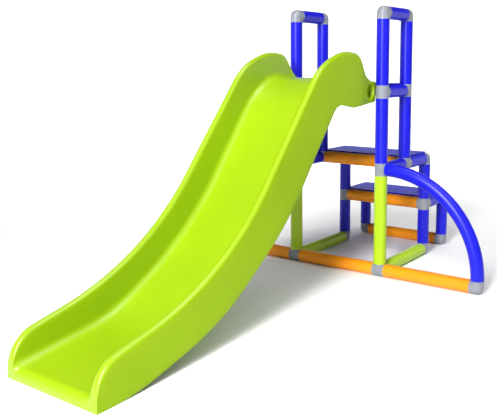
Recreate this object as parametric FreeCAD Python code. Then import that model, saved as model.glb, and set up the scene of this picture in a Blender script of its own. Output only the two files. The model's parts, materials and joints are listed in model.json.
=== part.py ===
"""Wave slide for the garden: a one-piece moulded chute that hangs on a stand of plastic tubes.

Millimetres, +Z up.  The origin is on the floor, in the middle of the object's box.
The chute runs down towards -Y, the ladder of treads stands at +Y, and X = 0 is the
plane of symmetry.  Every sub-part is written to parts/NAME.step.
"""
import FreeCAD
import Part
import math
import os

# ---- tube system ------------------------------------------------------------
TUBE_R = 25.0                 # outside radius of every tube and connector
TUBE_WALL = 3.0
HUB = 25.0                    # from a connector's centre to the end of the tube beside it
SPIGOT_GAP = 0.2              # between a connector's spigot and the tube's bore
SPIGOT_LENGTH = 45.0
SPIGOT_BORE_R = 15.0
ARC_SPIGOT_R = 19.0           # slimmer, so that it can enter the bent tube of a side arc
CORNER_BALL_R = TUBE_R - 0.3  # rounded corner of a connector between its ports
HALF_WIDTH = 200.0            # centre of the left and right post rows
OUTRIGGER = 400.0             # from a front post to the foot of its side arc
STEP_DEPTH = 200.0            # from one row of posts to the next

# ---- rows of connectors, front to back, and their levels ----------------------
OVERALL_LENGTH = 2005.0
ROW_3 = OVERALL_LENGTH / 2 - TUBE_R
ROW_2 = ROW_3 - STEP_DEPTH
ROW_1 = ROW_2 - STEP_DEPTH
ROW_0 = ROW_1 - STEP_DEPTH
FLOOR = TUBE_R
STEP = FLOOR + 200.0
PLATFORM = STEP + 200.0
SEAT = PLATFORM + 300.0
TOP = SEAT + 300.0

# ---- locking screws -----------------------------------------------------------
SCREW_R = 2.5
SCREW_HEAD_R = 5.0
SCREW_HEAD_HEIGHT = 2.4
SCREW_LENGTH = 9.0
SCREW_FROM_END = 22.0         # from the tube's end to the screw
SOCKET_R = 2.0
SOCKET_DEPTH = 1.6

# ---- treads -------------------------------------------------------------------
TREAD_HALF_WIDTH = 204.0
TREAD_THICKNESS = 4.0
TREAD_FRONT = 13.0            # from the front tube's centre line to the tread's front edge
TREAD_REAR = 4.0              # the tread reaches past the rear tube's centre line by this much
SEAT_FRONT = 12.0             # the seat's front edge leaves room for the chute's turning end
TREAD_CORNER_R = 8.0
POST_NOTCH_R = 26.0
RIM_DEPTH = 16.0
RIM_WALL = 3.0
RIM_GAP = 1.0                 # between the rim under a tread and the tubes around it
CLIP_INNER_R = 25.3
CLIP_OUTER_R = 28.8
CLIP_WIDTH = 40.0
CLIP_X = 110.0
CLIP_ANGLE = 118.0            # how far a clip reaches round its tube, from the tube's top

# ---- axle tube, on which the chute turns, and the seat's hooks that hold it -----
AXLE_Y = ROW_0 - 45.0
AXLE_Z = SEAT + 2.5
AXLE_HALF_LENGTH = 150.0
HOOK_X = 80.0
HOOK_WIDTH = 40.0
HOOK_OPENING = 42.0
HOOK_REAR = 60.0              # behind the front posts
ARM_TOP = 9.0                 # from the axle
ARM_BOTTOM = -13.0

# ---- chute: a corner is (distance behind the front posts, height, corner radius)
CHUTE_FRONT = -1380.0
CHUTE_REAR = -7.0
CHUTE_TOP_END = SEAT + 40.0   # height of the bed at its upper end
CHUTE_HALF_WIDTH = 180.0
END_HALF_WIDTH = 174.0        # the upper end fits between the front posts
WALL = 25.0                   # whole thickness of a side wall
SKIN = 4.0
BEAD = 14.0                   # solid height along the top of a side wall
BOSS_INNER = 106.0            # from here out to each side the upper end is solid around the axle
BOSS_FRONT = -87.0
BOSS_BORE_R = TUBE_R + 0.08
MOUTH_R = 28.5                # the bore is wider outside the axle tube's ends
RAIL = [
    (CHUTE_FRONT, 0.0, 0.0),
    (CHUTE_FRONT, 110.0, 95.0),
    (-900.0, 219.0, 930.0),
    (-391.0, 829.0, 240.0),
    (-240.0, 879.0, 250.0),
    (-137.0, 869.0, 50.0),
    (-65.0, CHUTE_TOP_END, 100.0),
    (CHUTE_REAR, CHUTE_TOP_END, 0.0),
]
UNDERSIDE = [
    (CHUTE_REAR, 687.0, 14.0),
    (-178.0, 672.0, 80.0),
    (-290.0, 691.0, 65.0),
    (-600.0, 318.0, 950.0),
    (-920.0, 88.0, 820.0),
    (-1260.0, 0.0, 690.0),
]
BED = [
    (CHUTE_FRONT, 4.0, 0.0),
    (CHUTE_FRONT, 30.0, 26.0),
    (-1042.0, 75.0, 485.0),
    (-707.0, 265.0, 1135.0),
    (-337.0, 727.0, 355.0),
    (-222.0, 784.0, 137.0),
    (-50.0, CHUTE_TOP_END, 300.0),
    (CHUTE_REAR, CHUTE_TOP_END, 0.0),
]
NECK = [                      # plan of the chute's side where it narrows: the share of the narrowing
    (-150.0, 0.0, 0.0),
    (-115.0, 0.0, 100.0),
    (-65.0, 1.0, 100.0),
    (60.0, 1.0, 0.0),
]
FAR = 200.0                   # clear past any face that a cutting tool has to pass

AXES = {"x": (1, 0, 0), "y": (0, 1, 0), "z": (0, 0, 1)}


def vector(*xyz):
    return FreeCAD.Vector(*xyz)


def save(name, shape):
    shape.exportStep(f"parts/{name}.step")


def rounded_edges(corners, place):
    """Lines and tangent arcs through corners (a, b, radius); place turns (a, b) into a point."""
    points = [vector(a, b, 0) for a, b, _ in corners]
    edges = []
    last = points[0]
    for before, corner, after, (_, _, radius) in zip(points, points[1:], points[2:], corners[1:]):
        if not radius:
            edges.append(Part.LineSegment(place(last), place(corner)).toShape())
            last = corner
            continue
        back = (before - corner).normalize()
        ahead = (after - corner).normalize()
        half = back.getAngle(ahead) / 2
        start = corner + back * (radius / math.tan(half))
        end = corner + ahead * (radius / math.tan(half))
        middle = corner + (back + ahead).normalize() * (radius / math.sin(half) - radius)
        edges.append(Part.LineSegment(place(last), place(start)).toShape())
        edges.append(Part.Arc(place(start), place(middle), place(end)).toShape())
        last = end
    edges.append(Part.LineSegment(place(last), place(points[-1])).toShape())
    return edges


def offset_corners(corners, distance):
    """The same rounded line moved to its left by distance."""
    moved = []
    last = len(corners) - 1
    points = [vector(a, b, 0) for a, b, _ in corners]
    for i, (_, _, radius) in enumerate(corners):
        ahead = (points[min(i + 1, last)] - points[min(i, last - 1)]).normalize()
        back = (points[max(i, 1)] - points[max(i - 1, 0)]).normalize()
        left = vector(-ahead.y - back.y, ahead.x + back.x, 0)
        shift = left * (2 * distance / left.dot(left))
        turn = back.cross(ahead).z
        moved_radius = radius - distance * (1 if turn > 0 else -1) if radius else 0.0
        moved.append((points[i].x + shift.x, points[i].y + shift.y, moved_radius))
    return moved


def side_prism(corners, closing, half_width):
    """Prism across X over an outline in the side view, closed through the points of closing."""
    outline = corners + [(a, b, 0.0) for a, b in closing] + [corners[0]]
    edges = rounded_edges(outline, lambda p: vector(-half_width, ROW_0 + p.x, p.y))
    face = Part.Face(Part.Wire([e for e in edges if e.Length > 1e-6]))
    return face.extrude(vector(2 * half_width, 0, 0))


def tube_between(start, end, bore_r=TUBE_R - TUBE_WALL):
    axis = end - start
    outer = Part.makeCylinder(TUBE_R, axis.Length, start, axis)
    return outer.cut(Part.makeCylinder(bore_r, axis.Length, start, axis))


def screw_at(point, inward):
    """Countersunk screw whose head is flush with the tube at point and points inward."""
    head = Part.makeCone(SCREW_HEAD_R, SCREW_R, SCREW_HEAD_HEIGHT, point, inward)
    shank = Part.makeCylinder(SCREW_R, SCREW_LENGTH, point, inward)
    return head.fuse(shank).removeSplitter()


def socket_at(point, inward):
    """Hexagon socket in a screw's head."""
    around = vector(0, 0, 1) if abs(inward.z) < 0.5 else vector(1, 0, 0)
    side = inward.cross(around)
    corners = []
    for i in range(7):
        angle = math.radians(60 * i)
        corners.append(point + around * (SOCKET_R * math.cos(angle)) + side * (SOCKET_R * math.sin(angle)))
    return Part.Face(Part.makePolygon(corners)).extrude(inward * SOCKET_DEPTH)


class Stand:
    """Collects the tubes and connectors and the screws that lock them together."""

    def __init__(self):
        self.tubes = {}
        self.hubs = {}
        self.screws = []
        self.sockets = []

    def add_screw(self, point, out):
        """A screw on the surface of a tube, out from its centre line."""
        inward = out * -1.0
        seat = point + out * (TUBE_R - 0.3)
        self.screws.append(screw_at(seat, inward))
        self.sockets.append(socket_at(seat, inward))

    def add_hub(self, group, x, y, z, ports, arc=None):
        """A connector with ports such as '+x -z'.  Its spigots enter the tubes, at arc a bent one."""
        centre = vector(x, y, z)
        hub = Part.makeSphere(CORNER_BALL_R, centre)
        for port in ports.split():
            direction = vector(*AXES[port[1]]) * (1.0 if port[0] == "+" else -1.0)
            hub = hub.fuse(Part.makeCylinder(TUBE_R, HUB, centre, direction))
            mouth = centre + direction * HUB
            spigot_r = ARC_SPIGOT_R if port == arc else TUBE_R - TUBE_WALL - SPIGOT_GAP
            hub = hub.fuse(Part.makeCylinder(spigot_r, HUB + SPIGOT_LENGTH, centre, direction))
            bore = Part.makeCylinder(SPIGOT_BORE_R, SPIGOT_LENGTH, mouth, direction)
            hub = hub.cut(bore)
            out = vector(0, 0, -1) if port[1] == "y" else vector(0, 1, 0)
            self.add_screw(mouth + direction * SCREW_FROM_END, out)
        self.hubs.setdefault(group, []).append(hub)

    def add_pair(self, group, y, z, ports, x=HALF_WIDTH, arc=""):
        """The same connector on both sides, with 'in' and 'out' for its sideways ports."""
        for side in (-1, 1):
            inner, outer = ("-x", "+x") if side > 0 else ("+x", "-x")
            turned = [text.replace("in", inner).replace("out", outer) for text in (ports, arc)]
            self.add_hub(group, side * x, y, z, *turned)

    def add_tube(self, name, start, end):
        a, b = vector(*start), vector(*end)
        along = (b - a).normalize() * HUB
        self.tubes[name] = tube_between(a + along, b - along)

    def add_tube_pair(self, name, start, end):
        for side, label in ((-1, "left"), (1, "right")):
            self.add_tube(f"{name}_{label}", (side * HALF_WIDTH, *start), (side * HALF_WIDTH, *end))

    def save_all(self):
        """Cuts every screw's seat into what it passes, and writes the parts."""
        for name, tube in self.tubes.items():
            save(name, drilled(tube, self.screws))
        for group, hubs in self.hubs.items():
            save(group, Part.makeCompound([drilled(hub, self.screws) for hub in hubs]))
        finished = [screw.cut(socket) for screw, socket in zip(self.screws, self.sockets)]
        save("locking_screws", Part.makeCompound(finished))


def drilled(shape, screws):
    """The shape with the seats of the screws that reach it."""
    near = [s for s in screws if shape.BoundBox.intersect(s.BoundBox)]
    result = shape
    for screw in near:
        result = result.cut(screw)
    return result


def add_connectors(stand):
    stand.add_pair("front_foot_connectors", ROW_0, FLOOR, "in out +y +z")
    stand.add_pair("arc_foot_connectors", ROW_0, FLOOR, "in +z", HALF_WIDTH + OUTRIGGER, arc="+z")
    stand.add_pair("middle_foot_connectors", ROW_2, FLOOR, "-y +z")
    stand.add_pair("rear_foot_connectors", ROW_3, FLOOR, "in +z")
    stand.add_pair("step_front_connectors", ROW_2, STEP, "in +y +z -z")
    stand.add_pair("step_rear_connectors", ROW_3, STEP, "in -y -z")
    stand.add_pair("platform_post_connectors", ROW_0, PLATFORM, "out +y +z -z", arc="out")
    stand.add_pair("platform_front_connectors", ROW_1, PLATFORM, "in +y -y +z")
    stand.add_pair("platform_rear_connectors", ROW_2, PLATFORM, "in -y -z")
    stand.add_pair("seat_front_connectors", ROW_0, SEAT, "+y +z -z")
    stand.add_pair("seat_rear_connectors", ROW_1, SEAT, "in -y +z -z")
    stand.add_pair("handrail_front_connectors", ROW_0, TOP, "+y -z")
    stand.add_pair("handrail_rear_connectors", ROW_1, TOP, "-y -z")


def add_tubes(stand):
    across = {
        "base_tube_front": (ROW_0, FLOOR),
        "base_tube_rear": (ROW_3, FLOOR),
        "step_tube_front": (ROW_2, STEP),
        "step_tube_rear": (ROW_3, STEP),
        "platform_tube_front": (ROW_1, PLATFORM),
        "platform_tube_rear": (ROW_2, PLATFORM),
        "seat_tube_rear": (ROW_1, SEAT),
    }
    for name, place in across.items():
        stand.add_tube(name, (-HALF_WIDTH, *place), (HALF_WIDTH, *place))
    for side, label in ((-1, "left"), (1, "right")):
        inner, outer = side * HALF_WIDTH, side * (HALF_WIDTH + OUTRIGGER)
        stand.add_tube(f"outrigger_tube_{label}", (inner, ROW_0, FLOOR), (outer, ROW_0, FLOOR))
    stand.add_tube_pair("front_post_lower", (ROW_0, FLOOR), (ROW_0, PLATFORM))
    stand.add_tube_pair("front_post_middle", (ROW_0, PLATFORM), (ROW_0, SEAT))
    stand.add_tube_pair("front_post_upper", (ROW_0, SEAT), (ROW_0, TOP))
    stand.add_tube_pair("rear_post_middle", (ROW_1, PLATFORM), (ROW_1, SEAT))
    stand.add_tube_pair("rear_post_upper", (ROW_1, SEAT), (ROW_1, TOP))
    stand.add_tube_pair("platform_leg_lower", (ROW_2, FLOOR), (ROW_2, STEP))
    stand.add_tube_pair("platform_leg_upper", (ROW_2, STEP), (ROW_2, PLATFORM))
    stand.add_tube_pair("step_leg", (ROW_3, FLOOR), (ROW_3, STEP))
    stand.add_tube_pair("base_side_tube", (ROW_0, FLOOR), (ROW_2, FLOOR))
    stand.add_tube_pair("step_side_tube", (ROW_2, STEP), (ROW_3, STEP))
    stand.add_tube_pair("platform_side_tube_front", (ROW_0, PLATFORM), (ROW_1, PLATFORM))
    stand.add_tube_pair("platform_side_tube_rear", (ROW_1, PLATFORM), (ROW_2, PLATFORM))
    stand.add_tube_pair("seat_side_tube", (ROW_0, SEAT), (ROW_1, SEAT))
    stand.add_tube_pair("handrail_tube", (ROW_0, TOP), (ROW_1, TOP))


def side_arc(side):
    """Quarter-circle tube from the platform's front connector down to the arc's foot."""
    radius = OUTRIGGER - HUB
    centre = vector(side * (HALF_WIDTH + HUB), ROW_0, FLOOR + HUB)
    top = centre + vector(0, 0, radius)
    foot = centre + vector(side * radius, 0, 0)
    middle = centre + vector(side * radius, 0, radius) * math.sqrt(0.5)
    spine = Part.Wire([Part.Arc(top, middle, foot).toShape()])
    walls = []
    for r in (TUBE_R, TUBE_R - TUBE_WALL):
        ring = Part.Wire([Part.makeCircle(r, top, vector(side, 0, 0))])
        walls.append(spine.makePipeShell([ring], True, True))
    return walls[0].cut(walls[1])


def add_axle(stand):
    ends = [vector(side * AXLE_HALF_LENGTH, AXLE_Y, AXLE_Z) for side in (-1, 1)]
    stand.tubes["slide_axle_tube"] = tube_between(*ends)


def add_arcs(stand):
    for side, label in ((-1, "left"), (1, "right")):
        stand.tubes[f"side_arc_{label}"] = side_arc(side)


def tread(front, rear, level, posts):
    """Moulded tread that lies on its frame of tubes and clips round the rear one."""
    bottom = level + TUBE_R
    plate = Part.makeBox(
        2 * TREAD_HALF_WIDTH, rear - front, TREAD_THICKNESS, vector(-TREAD_HALF_WIDTH, front, bottom)
    )
    upright = [e for e in plate.Edges if abs(e.tangentAt(e.FirstParameter).z) > 0.9]
    plate = plate.makeFillet(TREAD_CORNER_R, upright)
    rear_axis = rear - TREAD_REAR
    inner = HALF_WIDTH - TUBE_R - RIM_GAP
    rim_front = max(front, rear_axis - STEP_DEPTH + TUBE_R + RIM_GAP)
    rim_rear = rear_axis - TUBE_R - RIM_GAP
    rim_length = rim_rear - rim_front
    rim_low = bottom - RIM_DEPTH
    rim = Part.makeBox(2 * inner, rim_length, RIM_DEPTH, vector(-inner, rim_front, rim_low))
    hollow = Part.makeBox(
        2 * (inner - RIM_WALL),
        rim_length - 2 * RIM_WALL,
        RIM_DEPTH,
        vector(RIM_WALL - inner, rim_front + RIM_WALL, rim_low),
    )
    body = plate.fuse(rim.cut(hollow))
    for x in (-CLIP_X, CLIP_X):
        body = body.fuse(clip(x, rear_axis, level))
    for x in (-HALF_WIDTH, HALF_WIDTH):
        for y in posts:
            body = body.cut(Part.makeCylinder(POST_NOTCH_R, FAR, vector(x, y, bottom - FAR / 2)))
    return body.removeSplitter()


def clip(x, y, z):
    """C-shaped clip round the rear tube, on its inner side, hanging from the tread."""
    start = vector(x - CLIP_WIDTH / 2, y, z)
    along = vector(1, 0, 0)
    ring = Part.makeCylinder(CLIP_OUTER_R, CLIP_WIDTH, start, along, CLIP_ANGLE)
    ring.rotate(start, along, 90 - ring_start_angle(ring, start))
    return ring.cut(Part.makeCylinder(CLIP_INNER_R, CLIP_WIDTH, start, along))


def ring_start_angle(ring, start):
    """Angle about +X, from +Y, at which a part cylinder begins."""
    centre = ring.CenterOfMass - start
    return math.degrees(math.atan2(centre.z, centre.y)) - CLIP_ANGLE / 2


def axle_hook(x):
    """Hook open at the top that holds the axle tube, with the arm that joins it to the seat."""
    start = vector(x - HOOK_WIDTH / 2, AXLE_Y, AXLE_Z)
    along = vector(1, 0, 0)
    underside = SEAT + TUBE_R
    ring = Part.makeCylinder(CLIP_OUTER_R, HOOK_WIDTH, start, along)
    arm_low = start + vector(0, 0, ARM_BOTTOM)
    arm_length = ROW_0 + HOOK_REAR - AXLE_Y
    arm = Part.makeBox(HOOK_WIDTH, arm_length, ARM_TOP - ARM_BOTTOM, arm_low)
    root_low = vector(start.x, ROW_0 + SEAT_FRONT, arm_low.z)
    root = Part.makeBox(HOOK_WIDTH, HOOK_REAR - SEAT_FRONT, underside - arm_low.z, root_low)
    opening_low = start - vector(0, HOOK_OPENING / 2, 0)
    opening = Part.makeBox(HOOK_WIDTH, HOOK_OPENING, TUBE_R * 2, opening_low)
    bore = Part.makeCylinder(CLIP_INNER_R, HOOK_WIDTH, start, along)
    return ring.fuse(arm).fuse(root).cut(bore).cut(opening)


def seat_panel():
    """The seat's board, which also holds the axle tube in two hooks."""
    panel = tread(ROW_0 + SEAT_FRONT, ROW_1 + TREAD_REAR, SEAT, [ROW_0, ROW_1])
    for x in (-HOOK_X, HOOK_X):
        panel = panel.fuse(axle_hook(x))
    return panel.removeSplitter()


def add_treads():
    save("step_tread", tread(ROW_2 + TREAD_FRONT, ROW_3 + TREAD_REAR, STEP, [ROW_2]))
    save("platform_tread", tread(ROW_1 + TREAD_FRONT, ROW_2 + TREAD_REAR, PLATFORM, [ROW_1]))
    save("seat_panel", seat_panel())


def neck_prism(half_width):
    """Prism in Z over the chute's plan: half_width wide, narrowing at the upper end."""
    narrowing = CHUTE_HALF_WIDTH - END_HALF_WIDTH
    side = [(half_width - b * narrowing, a, r) for a, b, r in NECK]
    right = [(half_width, CHUTE_FRONT - FAR, 0.0)] + side
    left = [(-a, b, r) for a, b, r in reversed(right)]
    edges = rounded_edges(right + left + [right[0]], lambda p: vector(p.x, ROW_0 + p.y, -FAR))
    return Part.Face(Part.Wire(edges)).extrude(vector(0, 0, TOP + 2 * FAR))


def above_line(line, half_width):
    """Prism over everything above a line that runs up the chute."""
    front, rear = CHUTE_FRONT - FAR, FAR
    closing = [(rear, line[-1][1]), (rear, TOP + FAR), (front, TOP + FAR), (front, line[0][1])]
    return side_prism(line, closing, half_width).common(neck_prism(half_width))


def chute():
    """Double side walls over an open underside, and the two bosses that turn on the axle tube."""
    outer = side_prism(RAIL + UNDERSIDE, [], CHUTE_HALF_WIDTH).common(neck_prism(CHUTE_HALF_WIDTH))
    trough = above_line(BED, CHUTE_HALF_WIDTH - WALL)
    across = vector(1, 0, 0)
    bore = Part.makeCylinder(BOSS_BORE_R, 2 * HALF_WIDTH, vector(-HALF_WIDTH, AXLE_Y, AXLE_Z), across)
    body = outer.cut(trough).cut(chute_hollow()).cut(bore)
    for side in (-1, 1):
        mouth = vector(side * AXLE_HALF_LENGTH, AXLE_Y, AXLE_Z)
        body = body.cut(Part.makeCylinder(MOUTH_R, HALF_WIDTH, mouth, across * side))
    return body.removeSplitter()


def chute_hollow():
    """What is empty inside the walls and under the bed, open at the bottom and between the bosses."""
    roof = offset_corners(RAIL[:-1], -BEAD)
    roof[0] = (CHUTE_FRONT + SKIN, -FAR, 0.0)
    roof[1] = (CHUTE_FRONT + SKIN, roof[1][1], roof[1][2])
    width = CHUTE_HALF_WIDTH - SKIN
    space = side_prism(roof, [(roof[-1][0], -FAR)], width).common(neck_prism(width))
    space = space.cut(Part.makeBox(2 * FAR, FAR, TOP, vector(-FAR, ROW_0 + BOSS_FRONT, 0)))
    between = Part.makeBox(2 * BOSS_INNER, 2 * FAR, TOP, vector(-BOSS_INNER, ROW_0 + BOSS_FRONT - 8.0, 0))
    over_bed = above_line(offset_corners(BED, -SKIN), CHUTE_HALF_WIDTH - WALL + SKIN)
    return space.fuse(between).cut(over_bed)


def main():
    os.makedirs("parts", exist_ok=True)
    stand = Stand()
    add_connectors(stand)
    add_tubes(stand)
    add_axle(stand)
    add_arcs(stand)
    stand.save_all()
    add_treads()
    save("chute", chute())


main()
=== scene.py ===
"""Looks of the wave slide: the moulded chute, the tubes, connectors and treads, and a plain studio."""
import bpy
import json
import math
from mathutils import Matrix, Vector


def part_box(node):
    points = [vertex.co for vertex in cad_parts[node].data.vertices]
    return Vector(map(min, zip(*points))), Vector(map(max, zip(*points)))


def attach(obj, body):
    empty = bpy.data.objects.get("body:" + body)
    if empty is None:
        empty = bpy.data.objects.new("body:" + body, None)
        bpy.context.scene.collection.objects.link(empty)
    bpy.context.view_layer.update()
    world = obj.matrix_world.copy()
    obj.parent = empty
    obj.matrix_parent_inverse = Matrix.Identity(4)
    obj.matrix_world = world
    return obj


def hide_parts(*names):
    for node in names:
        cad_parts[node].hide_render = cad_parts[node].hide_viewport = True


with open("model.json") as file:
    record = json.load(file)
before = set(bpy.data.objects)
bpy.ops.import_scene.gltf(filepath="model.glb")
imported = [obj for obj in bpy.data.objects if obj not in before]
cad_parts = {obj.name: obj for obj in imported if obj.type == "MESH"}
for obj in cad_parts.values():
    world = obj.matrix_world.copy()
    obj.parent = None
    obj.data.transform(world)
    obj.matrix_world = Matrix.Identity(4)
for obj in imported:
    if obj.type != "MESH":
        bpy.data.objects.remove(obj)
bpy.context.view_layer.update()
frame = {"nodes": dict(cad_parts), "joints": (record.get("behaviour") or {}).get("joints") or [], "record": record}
nodes = frame["nodes"]

# ---- sizes, in metres -----------------------------------------------------------
axle = next(j for j in frame["joints"] if j["name"] == "slide_lift")["pos_m"]
AXLE_Y, AXLE_Z = axle[1], axle[2]
seat_low, seat_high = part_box("seat_side_tube_left")
TUBE_R = (seat_high.z - seat_low.z) / 2
POSTS_Y = seat_low.y - TUBE_R         # centre line of the front posts
chute_low, chute_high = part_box("chute")
CHUTE_HALF = chute_high.x             # half the chute's width
END_HALF = 0.174                      # and half its width at the upper end
FRONT = chute_low.y - POSTS_Y
REAR = chute_high.y - POSTS_Y
TOP_END = seat_high.z + 0.015         # height of the bed at its upper end
WALL = 0.025                          # a side wall's whole thickness
SKIN = 0.004
BEAD = WALL / 2                       # radius of the rounded top of a side wall
CORNER = 0.022                        # radius between the bed and a side wall
SHOULDER = 0.003                      # least rounding along the outer top edge
NECK_START, NECK_END = -0.128, -0.052 # where the sides draw in
TOE_CORNER = 0.013                    # radius at the bottom of the upper end
BOSS_INNER = 0.106                    # the bosses on the axle tube reach in to here
BOSS_FRONT = -0.087
BOSS_LOW = 0.679                      # their underside in front
UNDER_END = 0.687                     # and at the upper end, as the skirt's
BOSS_INSET = 0.0006                   # their rear face stays this far inside the chute's
FOOT_TOP = 0.032                      # height of the flat front at the chute's foot
DRILL_LENGTH = 0.1
BORE_R = TUBE_R + 0.0002
MOUTH_R = 0.0285
AXLE_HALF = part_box("slide_axle_tube")[1].x

# Side view of the chute: (distance behind the front posts, height, corner radius).
RAIL = [
    (FRONT, 0.0, 0.0),
    (FRONT, 0.110, 0.095),
    (-0.900, 0.219, 0.930),
    (-0.391, 0.829, 0.240),
    (-0.240, 0.879, 0.250),
    (-0.137, 0.869, 0.050),
    (-0.065, TOP_END, 0.100),
    (REAR, TOP_END, 0.0),
]
UNDERSIDE = [
    (FRONT, 0.0, 0.0),
    (-1.260, 0.0, 0.690),
    (-0.920, 0.088, 0.820),
    (-0.600, 0.318, 0.950),
    (-0.290, 0.691, 0.065),
    (-0.178, 0.672, 0.080),
    (REAR, UNDER_END, 0.014),
    (REAR, TOP_END, 0.0),
]
BED = [
    (FRONT, 0.004, 0.0),
    (FRONT, 0.030, 0.026),
    (-1.042, 0.075, 0.485),
    (-0.707, 0.265, 1.135),
    (-0.337, 0.727, 0.355),
    (-0.222, 0.784, 0.137),
    (-0.050, TOP_END, 0.300),
    (REAR, TOP_END, 0.0),
]


# ---- modelling helpers ------------------------------------------------------------
def deselect():
    for obj in bpy.context.selected_objects:
        obj.select_set(False)


def only(obj):
    deselect()
    obj.select_set(True)
    bpy.context.view_layer.objects.active = obj


def named(name):
    obj = bpy.context.object
    obj.name = name
    obj.data.name = name
    return obj


def settle(obj):
    """Puts the object's place into its mesh."""
    only(obj)
    bpy.ops.object.transform_apply(location=True, rotation=True, scale=True)


def modify(obj, kind, **settings):
    """Adds a modifier, sets it and applies it."""
    only(obj)
    modifier = obj.modifiers.new(kind.title(), kind)
    for key, value in settings.items():
        setattr(modifier, key, value)
    bpy.ops.object.modifier_apply(modifier=modifier.name)


def select_where(obj, verts=None, edges=None):
    """Edit mode with only what passes the test selected; the test gets one or two vertex places."""
    only(obj)
    bpy.ops.object.mode_set(mode="EDIT")
    bpy.ops.mesh.select_mode(type="VERT" if verts else "EDGE")
    bpy.ops.mesh.select_all(action="DESELECT")
    bpy.ops.object.mode_set(mode="OBJECT")
    for v in obj.data.vertices:
        v.select = bool(verts and verts(v.co))
    for e in obj.data.edges:
        e.select = bool(edges and edges(*(obj.data.vertices[i].co for i in e.vertices)))
    for f in obj.data.polygons:
        f.select = False
    bpy.ops.object.mode_set(mode="EDIT")


def select_open(obj, test):
    """Edit mode with only the open edges selected whose two ends pass the test."""
    only(obj)
    bpy.ops.object.mode_set(mode="EDIT")
    bpy.ops.mesh.select_mode(type="EDGE")
    bpy.ops.mesh.select_all(action="DESELECT")
    bpy.ops.mesh.select_non_manifold(
        use_wire=False, use_multi_face=False, use_non_contiguous=False, use_verts=False
    )
    object_mode()
    points = obj.data.vertices
    chosen = [e.select and test(*(points[i].co for i in e.vertices)) for e in obj.data.edges]
    for v in points:
        v.select = False
    for e, keep in zip(obj.data.edges, chosen):
        e.select = keep
        for i in e.vertices:
            points[i].select = points[i].select or keep
    bpy.ops.object.mode_set(mode="EDIT")


def object_mode():
    bpy.ops.object.mode_set(mode="OBJECT")


def shade(obj, degrees=40):
    only(obj)
    bpy.ops.object.shade_smooth_by_angle(angle=math.radians(degrees))


# ---- the chute's side view ----------------------------------------------------------
def rounded(corners, arc_step=math.radians(1.5), reach_step=0.012):
    """Points along straight runs and tangent arcs through the corners."""
    places = [Vector(c[:2]) for c in corners]
    path = [places[0]]

    def run_to(goal):
        start = path[-1]
        steps = max(1, round((goal - start).length / reach_step))
        path.extend(start.lerp(goal, (i + 1) / steps) for i in range(steps))

    for before, corner, after, (_, _, radius) in zip(places, places[1:], places[2:], corners[1:]):
        back = (before - corner).normalized()
        ahead = (after - corner).normalized()
        turn = math.pi - back.angle(ahead)
        if radius == 0 or turn < 1e-4:
            run_to(corner)
            continue
        reach = radius * math.tan(turn / 2)
        run_to(corner + back * reach)
        centre = corner + (back + ahead).normalized() * (radius / math.cos(turn / 2))
        spoke = path[-1] - centre
        sense = 1 if back.x * ahead.y - back.y * ahead.x < 0 else -1
        steps = max(2, round(turn / arc_step), round(turn * radius / reach_step))
        for i in range(steps):
            angle = sense * turn * (i + 1) / steps
            c, s = math.cos(angle), math.sin(angle)
            path.append(centre + Vector((c * spoke.x - s * spoke.y, s * spoke.x + c * spoke.y)))
    run_to(places[-1])
    return path


def crossing(path, origin, direction, least):
    """Distance along a line from origin to where it first crosses the path, past least."""
    found = []
    for a, b in zip(path, path[1:]):
        side = b - a
        det = direction.x * -side.y + direction.y * side.x
        if abs(det) < 1e-12:
            continue
        gap = a - origin
        along = (gap.x * -side.y + gap.y * side.x) / det
        share = (direction.x * gap.y - direction.y * gap.x) / det
        if -1e-6 <= share <= 1 + 1e-6 and along >= least:
            found.append(along)
    return min(found, default=0.0)


def smooth_step(value, start, end):
    t = min(1.0, max(0.0, (value - start) / (end - start)))
    return t * t * (3 - 2 * t)


def stations():
    """For each station along the bed: its place, the way up, and how far the rail and the skirt lie."""
    bed, rail, under = rounded(BED), rounded(RAIL), rounded(UNDERSIDE)
    steps = 8
    shares = [1 - math.sin(math.pi / 2 * i / steps) for i in range(1, steps + 1)]
    bed[-1:] = [Vector((REAR - TOE_CORNER * share, TOP_END)) for share in shares]
    result = []
    last = len(bed) - 1
    for i, place in enumerate(bed):
        run = bed[min(i + 1, last)] - bed[max(i - 1, 0)]
        lean = max(0.0, math.atan2(run.y, run.x))
        lean *= smooth_step(place.x, FRONT + 0.020, FRONT + 0.160)
        up = Vector((-math.sin(lean), math.cos(lean)))
        height = crossing(rail, place, up, -1e-5)
        depth = crossing(under, place, -up, 1e-4)
        if i == last:
            height, depth = 0.0, TOP_END - UNDER_END - TOE_CORNER
        if place.x <= FRONT + 1e-5:
            height, depth = FOOT_TOP - place.y, place.y
        result.append((place, up, max(0.0, height), depth))
    return result


def half_section(height, depth):
    """Outside bottom to bed centre: (half width, height above the bed) of the section."""
    bead = min(BEAD, 0.40 * height)
    shoulder = max(SHOULDER, bead)
    corner = min(CORNER, 0.60 * height)
    points = [(CHUTE_HALF, -depth + (height - shoulder + depth) * i / 8) for i in range(9)]
    for i in range(1, 13):
        a = math.pi * i / 12
        rise = shoulder if i < 6 else bead
        points.append((CHUTE_HALF - BEAD + BEAD * math.cos(a), height - rise + rise * math.sin(a)))
    inner = CHUTE_HALF - WALL
    wall_top, wall_foot = height - bead, corner
    points += [(inner, wall_top + (wall_foot - wall_top) * i / 5) for i in range(1, 6)]
    for i in range(1, 9):
        a = math.pi / 2 * i / 8
        points.append((inner - CORNER + CORNER * math.cos(a), corner - corner * math.sin(a)))
    flat = inner - CORNER
    points += [(flat * (1 - i / 6), 0.0) for i in range(1, 7)]
    return points


def draw_in(x, y):
    """Moves a point of the section inward where the chute narrows to its upper end."""
    narrowing = (CHUTE_HALF - END_HALF) * smooth_step(y, NECK_START, NECK_END)
    flat = CHUTE_HALF - WALL - CORNER
    return x - narrowing * min(1.0, x / flat)


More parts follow.
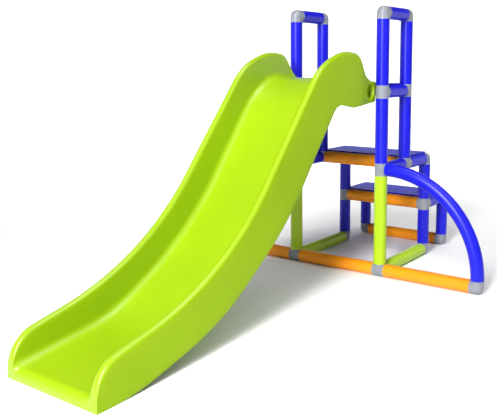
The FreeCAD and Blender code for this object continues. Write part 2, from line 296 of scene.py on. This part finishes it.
def make_chute():
    """One moulded skin: skirt, rounded rail, wall and bed, lofted through its stations."""
    rows = stations()
    columns = 2 * len(half_section(0.1, 0.1)) - 1
    bpy.ops.mesh.primitive_grid_add(
        x_subdivisions=columns - 1, y_subdivisions=len(rows) - 1, size=1, location=(0, POSTS_Y, TOP_END)
    )
    skin = named("chute_shell")
    settle(skin)
    for row, (place, up, height, depth) in enumerate(rows):
        half = half_section(height, depth)
        line = [(-x, h) for x, h in half] + [(x, h) for x, h in reversed(half[:-1])]
        for column, (x, h) in enumerate(line):
            at = place + up * h
            side = math.copysign(draw_in(abs(x), at.x), x)
            skin.data.vertices[row * columns + column].co = (side, POSTS_Y + at.x, at.y)
    close_front(skin)
    only(skin)
    bpy.ops.object.mode_set(mode="EDIT")
    bpy.ops.mesh.select_all(action="SELECT")
    bpy.ops.mesh.remove_doubles(threshold=1e-6)
    bpy.ops.mesh.dissolve_degenerate(threshold=1e-6)
    bpy.ops.mesh.normals_make_consistent(inside=False)
    object_mode()
    modify(skin, "SOLIDIFY", thickness=SKIN, offset=-1, use_even_offset=False)
    for side in (-1, 1):
        join_solid(skin, make_boss(side), "UNION")
    join_solid(skin, make_drill(BORE_R, 2 * CHUTE_HALF, 0.0), "DIFFERENCE")
    for side in (-1, 1):
        mouth = make_drill(MOUTH_R, DRILL_LENGTH, side * (AXLE_HALF + DRILL_LENGTH / 2))
        join_solid(skin, mouth, "DIFFERENCE")
    modify(skin, "BEVEL", width=0.0012, segments=2, limit_method="ANGLE", angle_limit=math.radians(50))
    shade(skin)
    return skin


def close_front(skin):
    """Fills the flat end at the chute's foot."""
    front = POSTS_Y + FRONT + 1e-4
    select_open(skin, lambda a, b: max(a.y, b.y) < front)
    bpy.ops.mesh.edge_face_add()
    object_mode()


def make_boss(side):
    """Block inside the upper end, between the skin's side, bed and underside."""
    inner, outer = side * BOSS_INNER, side * (END_HALF - SKIN / 2)
    low, high = BOSS_LOW, TOP_END - SKIN / 2
    front, rear = POSTS_Y + BOSS_FRONT, POSTS_Y + REAR - BOSS_INSET
    middle = ((inner + outer) / 2, (front + rear) / 2, (low + high) / 2)
    bpy.ops.mesh.primitive_cube_add(size=1, location=middle)
    boss = named("boss")
    boss.scale = (abs(outer - inner), rear - front, high - low)
    settle(boss)
    select_where(boss, verts=lambda co: co.z < low + 1e-5 and co.y > rear - 1e-5)
    bpy.ops.transform.translate(value=(0, 0, UNDER_END - BOSS_LOW))
    object_mode()
    select_where(boss, edges=lambda a, b: min(a.y, b.y) > rear - 1e-5 and max(a.z, b.z) < AXLE_Z)
    bpy.ops.mesh.bevel(offset=TOE_CORNER, segments=8, affect="EDGES")
    object_mode()
    return boss


def make_drill(radius, length, x):
    """A cylinder on the axle's line, centred at x."""
    bpy.ops.mesh.primitive_cylinder_add(
        vertices=96, radius=radius, depth=length, location=(x, AXLE_Y, AXLE_Z), rotation=(0, math.pi / 2, 0)
    )
    drill = named("drill")
    settle(drill)
    return drill


def join_solid(obj, other, operation):
    """Adds the other solid to the object, or cuts it away, and uses it up."""
    modify(obj, "BOOLEAN", object=other, operation=operation, solver="MANIFOLD")
    bpy.data.objects.remove(other)


# ---- finishes -------------------------------------------------------------------------
class Signal:
    """A value in a material. Arithmetic on it adds Math nodes."""

    def __init__(self, finish, socket):
        self.finish = finish
        self.socket = socket

    def worked(self, operation, *values):
        node = self.finish.add("ShaderNodeMath", {"operation": operation}, dict(enumerate(values)))
        return node[0]

    def __add__(self, other):
        return self.worked("ADD", self, other)

    def __sub__(self, other):
        return self.worked("SUBTRACT", self, other)

    def __mul__(self, other):
        return self.worked("MULTIPLY", self, other)

    def __rsub__(self, other):
        return self.worked("SUBTRACT", other, self)

    __radd__ = __add__
    __rmul__ = __mul__

    def size(self):
        return self.worked("ABSOLUTE", self)


class Finish:
    """A material under construction."""

    def __init__(self, name):
        self.material = bpy.data.materials.new(name)
        self.material.use_nodes = True
        self.tree = self.material.node_tree
        self.tree.nodes.clear()

    def add(self, kind, settings=None, inputs=None):
        """A node of that kind, its settings set before its sockets. Returns its outputs."""
        node = self.tree.nodes.new(kind)
        for key, value in (settings or {}).items():
            setattr(node, key, value)
        for key, value in (inputs or {}).items():
            if isinstance(value, Signal):
                self.tree.links.new(value.socket, node.inputs[key])
            else:
                node.inputs[key].default_value = value
        return [Signal(self, socket) for socket in node.outputs]

    def place(self, scale=(1, 1, 1)):
        """Object coordinates, stretched by scale."""
        coordinates = self.add("ShaderNodeTexCoord")[3]
        return self.add("ShaderNodeMapping", {}, {"Vector": coordinates, "Scale": scale})[0]

    def noise(self, scale, detail=2.0, stretch=(1, 1, 1), roughness=0.5):
        inputs = {"Vector": self.place(stretch), "Scale": scale, "Detail": detail, "Roughness": roughness}
        return self.add("ShaderNodeTexNoise", {}, inputs)[0]

    def between(self, value, low, high, to_low=0.0, to_high=1.0):
        """Smoothly maps value from low..high to to_low..to_high."""
        inputs = {0: value, 1: low, 2: high, 3: to_low, 4: to_high}
        return self.add("ShaderNodeMapRange", {"interpolation_type": "SMOOTHSTEP"}, inputs)[0]

    def blend(self, share, first, second):
        """A colour between two."""
        settings = {"data_type": "RGBA", "blend_type": "MIX"}
        return self.add("ShaderNodeMix", settings, {0: share, 6: first, 7: second})[2]

    def bump(self, height, distance, strength=1.0):
        inputs = {"Height": height, "Distance": distance, "Strength": strength}
        return self.add("ShaderNodeBump", {}, inputs)[0]

    def surface(self, **sockets):
        inputs = {}
        for key, value in sockets.items():
            inputs[key.replace("_", " ").title().replace("Ior", "IOR")] = value
        shader = self.add("ShaderNodeBsdfPrincipled", {}, inputs)[0]
        self.add("ShaderNodeOutputMaterial", {}, {"Surface": shader})
        return self.material


def shaded(colour, amount):
    """The colour made darker, or lighter for an amount above 1."""
    return tuple(min(1.0, c * amount) for c in colour[:3]) + (1.0,)


LIME = (0.270, 0.430, 0.001, 1.0)
TUBE_LIME = (0.370, 0.570, 0.008, 1.0)
BLUE = (0.004, 0.004, 0.520, 1.0)
TREAD_BLUE = (0.001, 0.005, 0.600, 1.0)
ORANGE = (0.880, 0.290, 0.006, 1.0)
GREY = (0.225, 0.240, 0.275, 1.0)
ZINC = (0.620, 0.620, 0.640, 1.0)
ALONG = {"x": (0.04, 1, 1), "y": (1, 0.04, 1), "z": (1, 1, 0.04), "arc": (1, 1, 1)}


def moulded_lime():
    """Glossy moulded polyethylene: faint clouding, a fine skin, and scuffs down the bed."""
    f = Finish("moulded_lime")
    cloud = f.noise(3.5, 3.0)
    skin = f.noise(420.0, 2.0)
    sag = f.noise(9.0, 1.0)
    scuff_lines = f.between(f.noise(9.0, 4.0, (26, 1, 1), 0.65), 0.60, 0.72)
    across = f.add("ShaderNodeSeparateXYZ", {}, {"Vector": f.place()})[0].size()
    sideways, _, facing = f.add("ShaderNodeSeparateXYZ", {}, {"Vector": f.add("ShaderNodeNewGeometry")[1]})
    sideways = sideways.size()
    on_bed = (1 - f.between(across, 0.10, 0.15)) * f.between(facing, 0.35, 0.60)
    scuff = scuff_lines * on_bed
    colour = f.blend(f.between(cloud, 0.35, 0.65), shaded(LIME, 0.96), shaded(LIME, 1.03))
    colour = f.blend(scuff * 0.10, colour, (0.60, 0.80, 0.15, 1.0))
    outer = f.between(across, 0.160, 0.172) * f.between(sideways, 0.80, 0.97)
    gloss = 0.36 + skin * 0.05 + scuff * 0.12
    relief = sag * 0.8 + skin * 0.05 + scuff * 0.02
    return f.surface(
        base_color=colour,
        roughness=gloss,
        normal=f.bump(relief, 0.0009),
        specular_ior_level=0.08,
        coat_weight=1 - outer * 0.9,
        coat_roughness=0.34,
    )


def tube_plastic(name, colour, axis):
    """Extruded tube: fine draw lines along its axis and slight clouding."""
    f = Finish(name)
    lines = f.noise(340.0, 2.0, ALONG[axis])
    cloud = f.noise(7.0, 2.0)
    tone = f.blend(f.between(cloud, 0.3, 0.7), shaded(colour, 0.95), shaded(colour, 1.04))
    return f.surface(
        base_color=tone,
        roughness=0.30 + lines * 0.08,
        normal=f.bump(lines * 0.10 + cloud * 0.5, 0.0006),
        specular_ior_level=0.35,
    )


def connector_plastic():
    """Satin grey moulding with a fine spark-eroded texture."""
    f = Finish("connector_grey")
    grain = f.noise(900.0, 2.0)
    cloud = f.noise(16.0, 3.0)
    tone = f.blend(f.between(cloud, 0.3, 0.7), shaded(GREY, 0.90), shaded(GREY, 1.08))
    return f.surface(base_color=tone, roughness=0.30 + grain * 0.10, normal=f.bump(grain, 0.00012))


def tread_plastic():
    """Moulded blue board: a leather grain that grips, smoother on its rim, with painted shade in the grain's
    grooves and on every face that does not face up.
    """
    f = Finish("tread_blue")
    cells = f.add(
        "ShaderNodeTexVoronoi", {"feature": "DISTANCE_TO_EDGE"}, {"Vector": f.place(), "Scale": 210.0}
    )[0]
    facing = f.add("ShaderNodeSeparateXYZ", {}, {"Vector": f.add("ShaderNodeNewGeometry")[1]})[2]
    top = f.between(facing, 0.80, 0.97)
    pebbles = f.between(cells, 0.02, 0.20) * top
    cloud = f.noise(8.0, 2.0)
    tone = f.blend(f.between(cloud, 0.3, 0.7), shaded(TREAD_BLUE, 0.93), shaded(TREAD_BLUE, 1.06))
    # painted shade: a darker copy of the blue fills the grain's grooves, and the rim and sides where there is no
    # grain
    return f.surface(
        base_color=f.blend(pebbles * 0.5, shaded(TREAD_BLUE, 0.82), tone),
        roughness=0.46 - pebbles * 0.10,
        normal=f.bump(pebbles, 0.0003),
        specular_ior_level=0.06,
    )


def screw_zinc():
    f = Finish("screw_zinc")
    brushed = f.noise(1500.0, 2.0)
    tone = f.blend(brushed, shaded(ZINC, 0.85), shaded(ZINC, 1.05))
    return f.surface(base_color=tone, metallic=1.0, roughness=0.28 + brushed * 0.15)


def studio_paper_painted_light_and_shade():
    """White paper with painted light and painted shade: it glows behind the object and lights it from behind, and
    it turns dark grey far out on its +X side to keep that side of the object in shade.
    """
    f = Finish("studio_paper_painted_light_and_shade")
    cloud = f.noise(0.7, 3.0)
    x, y, _ = f.add("ShaderNodeSeparateXYZ", {}, {"Vector": f.place()})
    behind = f.between(y * 0.82 - x * 0.57, 0.6, 3.2)
    # painted shade: dark grey paper far out on +X, so the object's +X side gets little bounce light
    painted_shade_side = f.between(x, 2.2, 4.2)
    tone = f.blend(cloud, (0.86, 0.86, 0.86, 1.0), (0.89, 0.89, 0.89, 1.0))
    tone = f.blend(painted_shade_side, tone, (0.10, 0.10, 0.10, 1.0))
    # painted light: the paper itself glows behind the object, though it is no lamp
    painted_glow = f.blend(behind, (0.0, 0.0, 0.0, 1.0), (0.75, 0.75, 0.75, 1.0))
    return f.surface(
        base_color=tone, roughness=0.75 + cloud * 0.1, emission_color=painted_glow, emission_strength=1.0
    )


def tube_axis(name):
    """The direction a tube runs in, from its box."""
    if "arc" in name:
        return "arc"
    low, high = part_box(name)
    sizes = dict(zip("xyz", high - low))
    return max(sizes, key=sizes.get)


def finish_tubes():
    """Every tube takes the plastic of its colour, drawn along its own axis."""
    colours = {"blue_tubes": BLUE, "orange_tubes": ORANGE, "lime_tubes": TUBE_LIME}
    made = {}
    for part in frame["record"]["subparts"]:
        slot = part["material_slot"]
        if slot not in colours:
            continue
        key = f"{slot}_{tube_axis(part['node'])}"
        if key not in made:
            made[key] = tube_plastic(key, colours[slot], key.rsplit("_", 1)[1])
        paint(nodes[part["node"]], made[key])


def finish_rest():
    kinds = {
        "grey_connectors": connector_plastic(),
        "blue_treads": tread_plastic(),
        "steel_screws": screw_zinc(),
        "lime_chute": moulded_lime(),
    }
    for part in frame["record"]["subparts"]:
        if part["material_slot"] in kinds:
            paint(nodes[part["node"]], kinds[part["material_slot"]])
    return kinds["lime_chute"]


def paint(obj, material):
    if not obj.material_slots:
        obj.data.materials.append(material)
    for slot in obj.material_slots:
        slot.material = material


# ---- studio ------------------------------------------------------------------------------
CAMERA_PLACE = (1.4845, -2.0433, 0.8324)
CAMERA_TURN = math.radians(34.58)     # to the left of straight ahead
CAMERA_TILT = math.radians(7.35)      # down
CAMERA_LENS = 51.3
CAMERA_SHIFT = (-0.1029, -0.1087)
FLOOR_RADIUS = 5.0
SWEEP = 2.6                           # radius of the backdrop's curve


def make_camera():
    turn = (math.pi / 2 - CAMERA_TILT, 0, CAMERA_TURN)
    bpy.ops.object.camera_add(location=CAMERA_PLACE, rotation=turn)
    camera = bpy.context.object
    camera.name = "camera"
    camera.data.lens = CAMERA_LENS
    camera.data.sensor_width = 36.0
    camera.data.shift_x, camera.data.shift_y = CAMERA_SHIFT
    bpy.context.scene.camera = camera


def make_studio():
    """A round paper floor whose rim curves up all round, behind whatever view is taken."""
    bpy.ops.mesh.primitive_circle_add(vertices=96, radius=FLOOR_RADIUS, fill_type="NGON")
    floor = named("studio_floor")
    steps = 10
    for i in range(steps):
        before, after = (math.pi / 2 * (i + share) / steps for share in (0, 1))
        rim = FLOOR_RADIUS + SWEEP * math.sin(before)
        rise = SWEEP * (math.cos(before) - math.cos(after))
        grow = (FLOOR_RADIUS + SWEEP * math.sin(after)) / rim
        select_where(floor, edges=lambda a, b: min(a.xy.length, b.xy.length) > rim - 0.001)
        bpy.ops.mesh.extrude_edges_move(TRANSFORM_OT_translate={"value": (0, 0, rise)})
        bpy.ops.transform.resize(value=(grow, grow, 1), center_override=(0, 0, 0))
        object_mode()
    shade(floor, 60)
    paint(floor, studio_paper_painted_light_and_shade())


def make_light(name, place, width, height, power):
    """A soft light aimed at the middle of the object."""
    aim = Vector((0, 0, 0.4)) - Vector(place)
    turn = aim.to_track_quat("-Z", "Y").to_euler()
    bpy.ops.object.light_add(type="AREA", location=place, rotation=turn)
    light = bpy.context.object
    light.name = name
    light.data.shape = "RECTANGLE"
    light.data.size = width
    light.data.size_y = height
    light.data.energy = power


def make_lights():
    make_light("key_light", (1.2, -4.8, 3.1), 1.1, 3.6, 520)
    make_light("top_light", (1.3, 0.2, 4.6), 0.7, 5.0, 120)
    make_light("side_light", (4.2, -0.6, 1.8), 2.2, 2.2, 20)
    world = bpy.data.worlds.new("studio_air")
    world.use_nodes = True
    world.node_tree.nodes["Background"].inputs["Color"].default_value = (1, 1, 1, 1)
    world.node_tree.nodes["Background"].inputs["Strength"].default_value = 0.12
    bpy.context.scene.world = world
    bpy.context.scene.view_settings.view_transform = "Standard"


chute = make_chute()
finish_tubes()
lime = finish_rest()
paint(chute, lime)
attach(chute, "slide")
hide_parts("chute")
make_studio()
make_lights()
make_camera()
